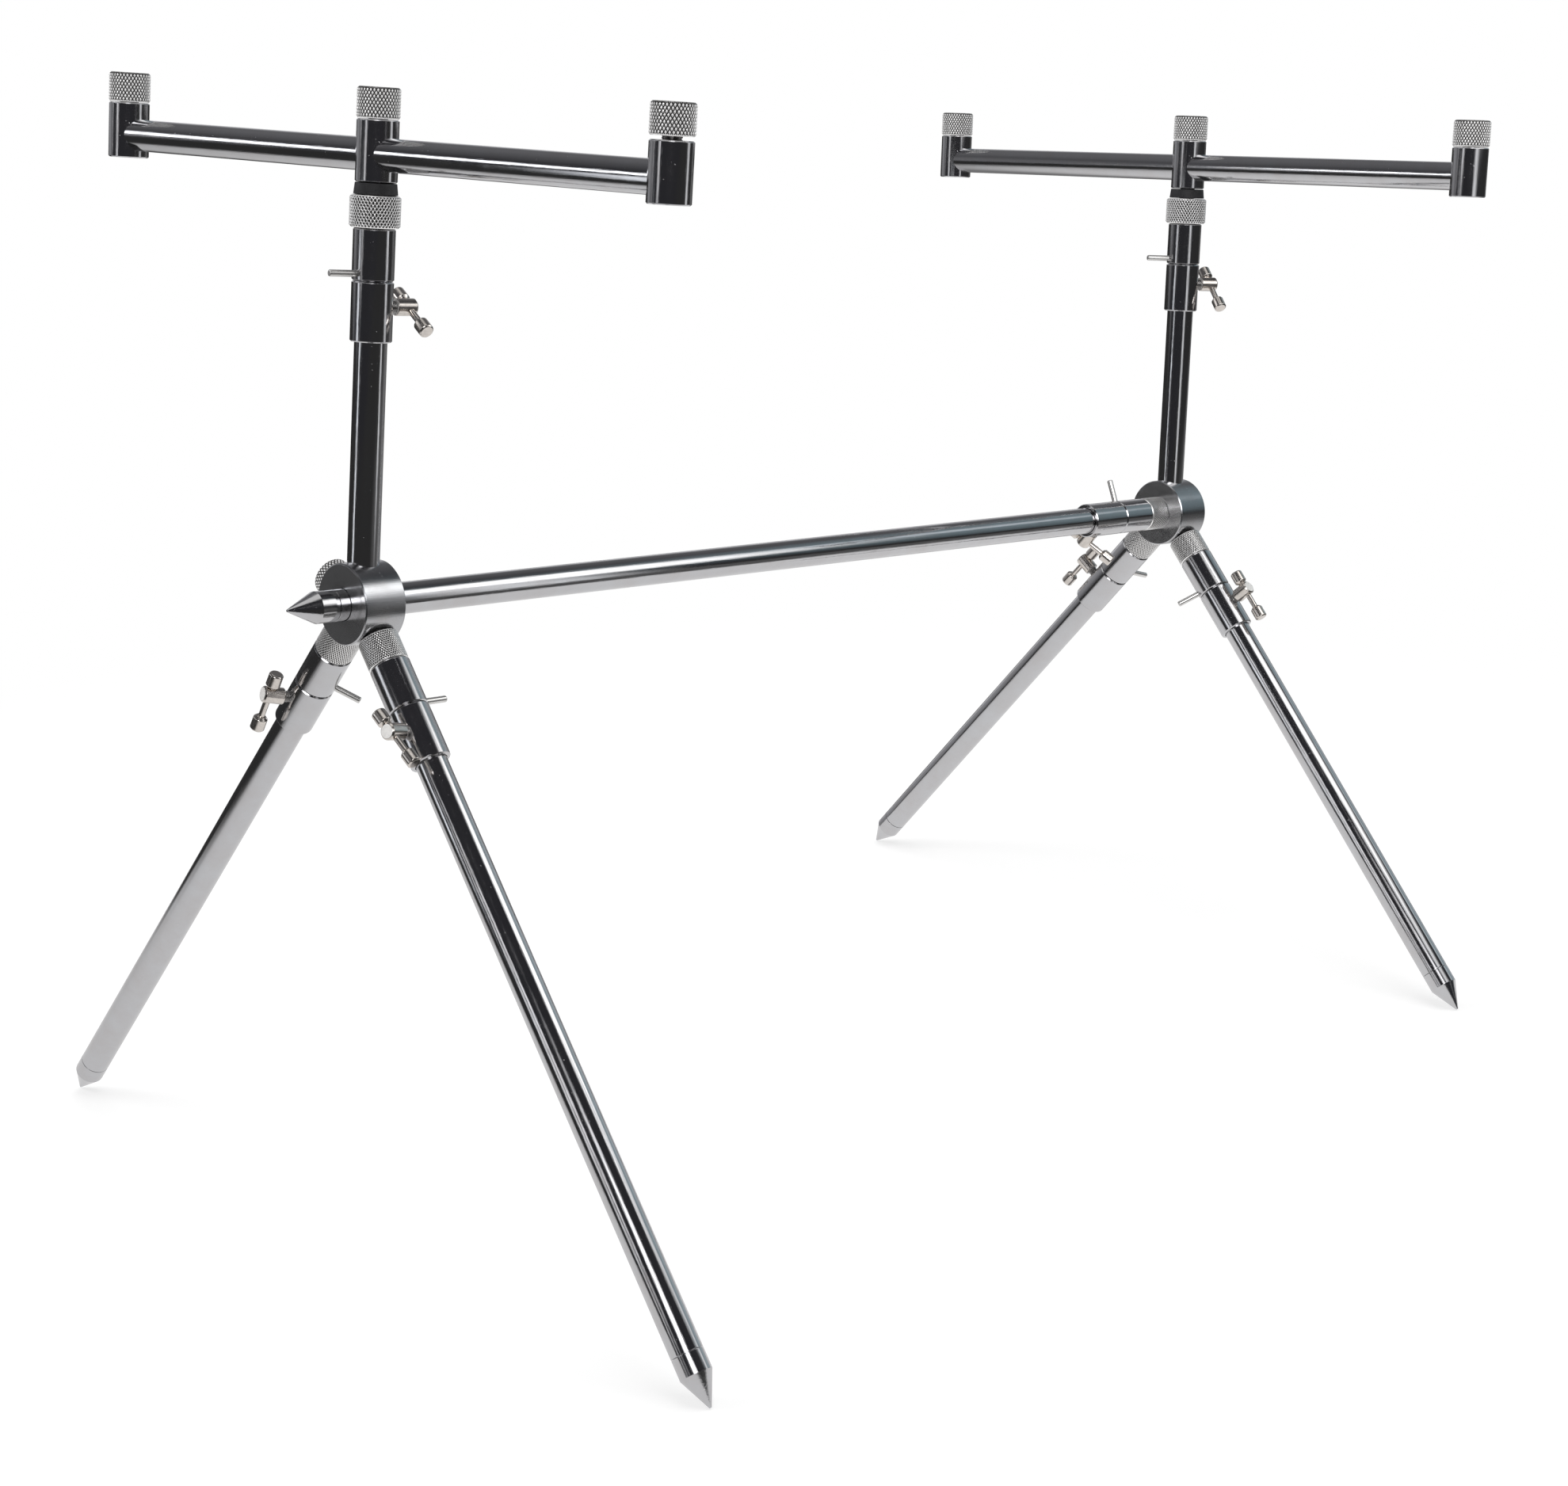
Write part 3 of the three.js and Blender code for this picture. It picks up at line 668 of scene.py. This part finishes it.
def hub(end):
    """A round hub with broken edges, lying along the pod's Y. The front one slides on the bar."""
    half = hub_thickness / 2
    base = move(0, hub_place[end], 0) @ stand(X, -Y)
    bored = end == "front"
    inner = sleeve_radius if bored else 0
    profile = rounded([(inner, -half), (hub_radius - hub_chamfer, -half),
                       (hub_radius, hub_chamfer - half), (hub_radius, half - hub_chamfer),
                       (hub_radius - hub_chamfer, half), (inner, half)], 0.15, loop=bored)
    body = Shell(turned(profile, 160), loop=bored, finish=flat_rows(profile))
    piece(f"{end}_turned_hub", [body.at(base)], [hub_steel, hub_face], f"{end}_frame",
          [f"{end}_hub"])


def knob(name, place):
    """A knurled knob: threaded neck below, and a plain socket in its top face, where the real knob
    is threaded.
    """
    socket_floor, wall = knob_height - knob_socket_depth, knob_socket_radius
    neck_inset, lip = 0.6, 0.5
    body = knurled_shell(
        knob_relief, knob_radius, 0, knob_height, knob_foot_chamfer, knob_top_chamfer,
        before=[(0, 0), (stub_radius - neck_inset, 0)],
        after=[(wall + lip + 0.2, knob_height), (wall + lip, knob_height - 0.03),
               (wall, knob_height - lip - 0.05), (wall, socket_floor + 0.2),
               (wall - 0.2, socket_floor), (0, socket_floor)], loop=False)
    neck = threaded_shell(stub_radius, -knob_neck_length, sunk, stub_thread, finish=2)
    piece(f"{name}_cap", [body.at(place), neck.at(place)], [knob_knurl, satin, thread_steel],
          name, [name])


def buzz_bar(end, place):
    """A buzz bar: two arms between three upright sleeves, all one brazed piece."""
    width = half_width[end]
    shells = []
    for spot, below, above in ((-width, end_tube_below, end_tube_above),
                               (0, centre_tube_below, centre_tube_above),
                               (width, end_tube_below, end_tube_above)):
        shells.append(sleeve_shell(bore_radius, buzz_tube_radius, buzz_tube_chamfer, -below, above)
                      .at(place @ move(spot, 0, 0)))
    start, stop = arm_inset, width - arm_inset
    corners = [(0, start), (buzz_arm_radius, start), (buzz_arm_radius, stop), (0, stop)]
    arm = Shell(turned(rounded(corners, 0.05), 96))
    shells += [arm.at(place @ stand(Z, side * X)) for side in (-1, 1)]
    piece(f"{end}_brazed_buzz_bar", shells, [head_steel], f"{end}_buzz", [f"{end}_buzz_bar"])


def post(end):
    """A post that telescopes up from its hub, its washer, and the buzz bar with three knobs."""
    name = f"{end}_post"
    right, back = np.radians(post_lean[end])
    base = move(0, hub_place[end], 0) @ lean_to(unit([np.tan(right), np.tan(back), 1]))
    washer_top = buzz_axis_height - centre_tube_below - clearance
    seat = washer_top - washer_height - clearance
    tube_end = seat - (hub_radius - post_socket_depth) - clearance
    stick = base @ stand(-Y, -Z, (0, 0, seat))
    member(name, stick, (f"{name}_upper", f"{end}_frame"), False,
           washer_top - seat + clearance + stub_engagement, tube_end, tube_end - rod_spare, False)
    foot, top = -clearance, -clearance - washer_height
    washer = Shell(turned(rounded([
        (bore_radius, top), (washer_top_radius, top), (washer_foot_radius, foot),
        (bore_radius, foot)], 0.3, loop=True), 96), loop=True)
    piece(f"{name}_plastic_washer", [washer.at(stick)], [plastic], f"{name}_upper",
          [f"{name}_washer"])
    crown = base @ move(0, 0, buzz_axis_height) @ about("Z", yaw[end])
    buzz_bar(end, crown)
    width = half_width[end]
    for side, spot, above in (("left", -width, end_tube_above), ("middle", 0, centre_tube_above),
                              ("right", width, end_tube_above)):
        lift = loose_knob_lift if (end, side) == ("front", "right") else 0
        knob(f"{end}_{side}_knob", crown @ move(spot, 0, above + clearance + lift))


def hub_knob():
    """The hub's clamp knob on its screw, pointing left and a little up."""
    rise = np.radians(hub_knob_rise)
    place = stand(Y, np.array([-np.cos(rise), 0, np.sin(rise)]))
    seat = hub_radius + clearance
    end = seat + hub_knob_thickness
    body = knurled_shell(hub_knob_relief, hub_knob_radius, seat, end, hub_knob_chamfer,
                         hub_knob_chamfer, before=[(0, seat), (0.8 * hub_screw_radius, seat)],
                         after=[(hub_screw_radius, end), (0, end)], loop=False)
    screw = threaded_shell(hub_screw_radius, sleeve_radius, seat + sunk, hub_thread, finish=2)
    piece("hub_clamp_knob_cap", [body.at(place), screw.at(place)],
          [knob_knurl, satin, thread_steel], "hub_clamp", ["hub_clamp_knob"])


def main_bar():
    """The main bar, which telescopes at the rear hub and ends in a spike past the front one."""
    seat = hub_spacing - hub_thickness / 2 - clearance
    tube_end = seat + bar_nose - clearance - spike_shoulder_length - spike_cone_length
    member("main_bar", stand(Z, -Y, (0, seat, 0)), ("rear_frame", "main_bar"), True,
           bar_socket_depth, tube_end, tube_end - spike_plug_length - rod_spare, True)


for end in ("front", "rear"):
    hub(end)
    leg(end, -1)
    leg(end, 1)
    post(end)
hub_knob()
main_bar()


# ---------------------------------------------------------------- studio

def stage_mesh(name, points, faces, material, shade=None):
    """A mesh of the studio, no part of the pod. Its shade is kept point by point."""
    made = bpy.data.meshes.new(name)
    made.from_pydata(np.asarray(points, float).tolist(), [], faces)
    made.materials.append(material)
    if shade is not None:
        made.attributes.new("shade", "FLOAT", "POINT").data.foreach_set(
            "value", np.asarray(shade).ravel().astype(np.float32))
    made.update()
    thing = bpy.data.objects.new(name, made)
    bpy.context.scene.collection.objects.link(thing)
    return thing


def sheet(across, along):
    """Faces of a grid of points, row by row."""
    i, j = np.meshgrid(np.arange(along - 1), np.arange(across - 1), indexing="ij")
    a = (i * across + j).ravel()
    return np.stack([a, a + 1, a + across + 1, a + across], 1).tolist()


def ease(value, low, high):
    """A soft step from 0 at low to 1 at high: t squared times 3 - 2 t."""
    t = np.clip((np.asarray(value, float) - low) / (high - low), 0, 1)
    return t * t * (3 - 2 * t)


def glow(name, colour, strength, see_through=False):
    """Glows by its shade. A see-through one glows evenly, and its shade is how solid it is."""
    f = Finish(name, bare=True)
    shade = f.node("ShaderNodeAttribute", _attribute_name="shade").outputs["Fac"]
    light = f.node("ShaderNodeEmission", Color=(*colour, 1))
    shown = light.outputs[0]
    if see_through:
        light.inputs["Strength"].default_value = strength
        shown = f.mixed(shade, f.node("ShaderNodeBsdfTransparent").outputs[0], shown)
    else:
        f.set(light.inputs["Strength"], f.maths("MULTIPLY", shade, strength))
    f.set(f.node("ShaderNodeOutputMaterial").inputs[0], shown)
    return f.made


def for_reflections(thing):
    """Only reflections see this: it lights nothing and hides nothing."""
    thing.visible_camera = thing.visible_diffuse = thing.visible_shadow = False
    thing.visible_transmission = thing.visible_volume_scatter = False
    return thing


def card(name, centre, facing, width, height, colour, strength, soft):
    """A card of soft light that faces a point, in metres: centre + h * half its width to the
    right + v * half its height up, with h and v from -1 to 1. It fades towards its edges over
    a share of its half width and half height."""
    n = unit(np.asarray(facing, float) - centre)
    right = unit(np.cross(Z, n))
    over = np.cross(n, right)
    steps = 25
    u = np.linspace(-1, 1, steps)
    v, h = np.meshgrid(u, u, indexing="ij")
    points = (np.asarray(centre) + h[..., None] * right * width / 2
              + v[..., None] * over * height / 2).reshape(-1, 3)
    shade = ease(1 - np.abs(h), 0, soft[0]) * ease(1 - np.abs(v), 0, soft[1])
    return for_reflections(stage_mesh(name, points, sheet(steps, steps),
                                      glow(name, colour, strength, True), shade))


def way(bearing, climb):
    """The direction at a bearing from the front, through the right, and at a climb, in degrees."""
    p, e = np.radians(bearing), np.radians(climb)
    return np.array([np.sin(p) * np.cos(e), -np.cos(p) * np.cos(e), np.sin(e)])


def surround():
    """The dim room round the pod, as metal sees it: a far dome, x = r cos v cos u,
    y = r cos v sin u, z = r sin v, whose shade follows the direction. Dark in front, grey
    behind on the left, blue green behind on the right, light overhead."""
    radius, around, rows = 30.0, 96, 24
    u = np.linspace(0, 2 * np.pi, around + 1)[:-1]
    v = np.radians(np.linspace(-2, 90, rows))
    points = np.stack([radius * np.outer(np.cos(v), np.cos(u)),
                       radius * np.outer(np.cos(v), np.sin(u)),
                       radius * np.outer(np.sin(v), np.ones(around))], -1).reshape(-1, 3)
    i = np.arange((rows - 1) * around)
    j = (i // around) * around + (i + 1) % around
    faces = np.stack([i, i + around, j + around, j], 1).tolist()
    f = Finish("dim_room", bare=True)
    there = f.node("ShaderNodeVectorMath", _operation="NORMALIZE")
    f.set(there.inputs[0], f.node("ShaderNodeTexCoord").outputs["Object"])
    there = there.outputs["Vector"]

    def towards(direction):
        """The cosine of the angle to a direction."""
        n = f.node("ShaderNodeVectorMath", _operation="DOT_PRODUCT")
        f.set(n.inputs[0], there)
        n.inputs[1].default_value = direction
        return n.outputs["Value"]

    def smooth(value, low, high, to_low=0.0, to_high=1.0):
        """A soft step between two values."""
        n = f.node("ShaderNodeMapRange", _interpolation_type="SMOOTHSTEP",
                   **{"From__Min": low, "From__Max": high, "To__Min": to_low, "To__Max": to_high})
        f.set(n.inputs["Value"], value)
        return n.outputs["Result"]

    def patch(bearing, climb, inner, outer, colour):
        """A round patch of light, full up to an inner and none past an outer angle."""
        add(smooth(towards(way(bearing, climb)), np.cos(np.radians(outer)),
                   np.cos(np.radians(inner))), colour)

    total = None

    def add(factor, colour):
        """Adds a colour, times a factor, to the room."""
        nonlocal total
        n = f.node("ShaderNodeVectorMath", _operation="SCALE")
        n.inputs[0].default_value = colour
        f.set(n.inputs["Scale"], factor)
        if total is None:
            total = n.outputs["Vector"]
            return
        both = f.node("ShaderNodeVectorMath", _operation="ADD")
        f.set(both.inputs[0], total)
        f.set(both.inputs[1], n.outputs["Vector"])
        total = both.outputs["Vector"]

    height = towards((0, 0, 1))
    add(1.0, (0.030, 0.030, 0.034))
    # the wide grey wall behind on the left, brighter at its middle and dimmer higher up
    low = smooth(height, 0.17, 0.55, 1.0, 0.3)
    back = towards(way(-125, 0))
    add(f.maths("MULTIPLY", smooth(back, 0.0, 0.75), low), (0.30, 0.30, 0.31))
    add(f.maths("MULTIPLY", smooth(back, 0.80, 1.0), low), (0.34, 0.34, 0.35))
    # a faint veil high on the left
    add(f.maths("MULTIPLY", smooth(towards(way(-90, 20)), 0.45, 0.95),
                smooth(height, 0.4, 0.65)), (0.045, 0.045, 0.047))
    # the blue green screen behind on the right, its lamp, and the small lamps of the studio
    patch(165, 15, 8, 36, (0.20, 0.265, 0.29))
    patch(151, 31, 1.5, 9, (0.42, 0.43, 0.45))
    for *spot, level in ((0, 21, 1.5, 8, 1.15), (-12, 10, 1.5, 8, 1.0), (112, 22, 8, 19, 0.5),
                         (-20, 42, 8, 18, 0.22), (-48, 7, 1, 4, 0.5), (50, 29, 6, 19, 4.6)):
        patch(*spot, (level, level, level * 1.02))
    # the ceiling
    add(smooth(height, np.sin(np.radians(62)), np.sin(np.radians(77))), (0.75, 0.75, 0.745))
    light = f.node("ShaderNodeEmission", Strength=1.0)
    f.set(light.inputs["Color"], total)
    f.set(f.node("ShaderNodeOutputMaterial").inputs[0], light.outputs[0])
    for_reflections(stage_mesh("dim_room", points, faces, f.made))


def floor():
    """A pale floor, white to the eye, that still takes the pod's shadow near the pod."""
    f = Finish("pale_floor")
    f.surface(Base__Color=(0.42, 0.42, 0.42, 1), Roughness=0.9, Specular__IOR__Level=0.0,
              Emission__Color=(1, 1, 1, 1), Emission__Strength=0.62)
    far = f.node("ShaderNodeVectorMath", _operation="LENGTH")
    f.set(far.inputs[0], f.node("ShaderNodeTexCoord").outputs["Object"])
    shadow_ends, all_white = 0.55, 1.1
    white = f.node("ShaderNodeEmission", Color=(1, 1, 1, 1), Strength=1.0)
    shown = f.mixed(f.graded(far.outputs["Value"], shadow_ends, all_white, 0.0, 1.0),
                    f.shader.outputs[0], white.outputs[0])
    f.set(f.tree.nodes["Material Output"].inputs[0], shown)
    half, drop = 12, -0.0005
    corners = [(-half, -half, drop), (half, -half, drop), (half, half, drop), (-half, half, drop)]
    ground = stage_mesh("pale_floor", corners, [(0, 1, 2, 3)], f.made)
    ground.visible_glossy = False


def lit_table():
    """The floor as metal sees it: pale round the pod, dark beyond its right and front edges,
    and dimmer step by step to the left, to the rear and further off."""
    reach = np.concatenate([[-32, -8], np.linspace(-2.4, 2.4, 121), [8, 32]])
    y, x = np.meshgrid(reach, reach, indexing="ij")
    far = np.hypot(x, y)
    # its rear edge bends forward on the left, and its front edge back
    behind = y + 1.2 * np.clip(-x - 0.35, 0, None)
    ahead = y + 0.18 * np.clip(-x - 0.5, 0, None)
    pale = (ease(0.50 - x, 0, 0.13) * ease(ahead, -0.88, -0.60) * ease(x, -1.5, -0.75)
            * (1 - 0.8 * ease(behind, 0.5, 0.95)) * (1 - 0.2 * ease(far, 0.35, 1.0)))
    shade = 0.035 + 0.085 * ease(2.6 - far, 0, 1.2) * ease(y, -0.2, 0.6) + 0.75 * pale
    points = np.stack([x, y, np.full_like(x, -0.0002)], -1).reshape(-1, 3)
    for_reflections(stage_mesh("lit_table", points, sheet(len(reach), len(reach)),
                               glow("lit_table", (1.0, 0.995, 1.0), 1.0), shade))


def white_studio():
    """The world: a plain level of light, and white where the camera, gloss or glass sees it."""
    f = Finish("white_studio", bpy.data.worlds, bare=True)
    path = f.node("ShaderNodeLightPath").outputs
    seen = f.maths("ADD", f.maths("ADD", path["Is Camera Ray"], path["Is Glossy Ray"]),
                   path["Is Transmission Ray"])
    seen.node.use_clamp = True
    plain, white = (f.node("ShaderNodeBackground", Color=(1, 1, 1, 1), Strength=strength)
                    for strength in (0.55, 1.0))
    f.set(f.node("ShaderNodeOutputWorld").inputs[0],
          f.mixed(seen, plain.outputs[0], white.outputs[0]))
    bpy.context.scene.world = f.made


def lamp(name, place, facing, size, watts):
    """A soft square lamp. Reflections see the cards in its stead."""
    made = bpy.data.lights.new(name, "AREA")
    made.shape, made.size, made.energy = "SQUARE", size, watts
    thing = bpy.data.objects.new(name, made)
    n = unit(np.asarray(facing, float) - place)
    right = unit(np.cross(n, Z + 0.001 * Y))
    over = np.cross(right, n)
    axes = np.eye(4)
    axes[:3, 0], axes[:3, 1], axes[:3, 2], axes[:3, 3] = right, over, -n, place
    thing.matrix_world = Matrix(axes.tolist())
    thing.visible_glossy = False
    bpy.context.scene.collection.objects.link(thing)


surround()
floor()
lit_table()
card("right_softbox", (0.53, 0.34, 0.76), (0, 0, 0.3), 0.74, 0.66, (1, 1, 1), 2.1, (0.7, 0.7))
card("right_strip", (0.55, 0.21, 0.42), (0, 0, 0.42), 0.26, 0.55, (0.97, 0.98, 1), 0.95, (0.9, 0.4))
card("left_softbox", (-0.93, -1.17, 0.885), (0, -0.25, 0.54), 1.2, 0.33, (0.97, 0.985, 1.02), 3.3,
     (0.35, 0.9))
card("left_strip", (-0.394, -1.09, 0.38), (0, 0, 0.38), 0.26, 0.46, (0.95, 0.98, 1.03), 1.3,
     (0.9, 0.4))
white_studio()
lamp("overhead_lamp", (0.3, 0.1, 2.4), (0, 0, 0.2), 1.6, 26)
lamp("left_lamp", (-1.6, -1.6, 1.5), (0, 0, 0.3), 1.2, 18)

# ---------------------------------------------------------------- camera

# The photograph's camera in the pod's own axes: bearing, height and roll in degrees, its place
# in millimetres, and its lens in pixels of an image 1979 wide and 1876 tall.
bearing, climb, roll = 45.417, 11.981, 2.3428
eye = np.array([1150.87, -834.32, 255.91])
focal, centre_x, centre_y, image_width, image_height = 3668.84, 1000.94, 889.26, 1979, 1876
a, e, c, s = (np.radians(bearing), np.radians(climb), np.cos(np.radians(roll)),
              np.sin(np.radians(roll)))
back_line = np.array([np.sin(a) * np.cos(e), -np.cos(a) * np.cos(e), np.sin(e)])
level = unit(np.cross(-back_line, Z))
upward = np.cross(level, -back_line)
right_line, up_line = c * level + s * upward, c * upward - s * level
turn = pod[:3, :3]
axes = np.eye(4)
axes[:3, 0], axes[:3, 1], axes[:3, 2] = turn @ right_line, turn @ up_line, turn @ back_line
axes[:3, 3] = placed(eye, pod) * 0.001
lens = bpy.data.cameras.new("camera")
lens.sensor_fit, lens.sensor_width = "HORIZONTAL", 36
lens.lens = focal * lens.sensor_width / image_width
lens.shift_x = (image_width / 2 - centre_x) / image_width
lens.shift_y = (centre_y - image_height / 2) / image_width
lens.clip_start, lens.clip_end = 0.05, 50
camera = bpy.data.objects.new("camera", lens)
camera.matrix_world = Matrix(axes.tolist())
bpy.context.scene.collection.objects.link(camera)
bpy.context.scene.camera = camera
bpy.context.scene.view_settings.view_transform = "Standard"
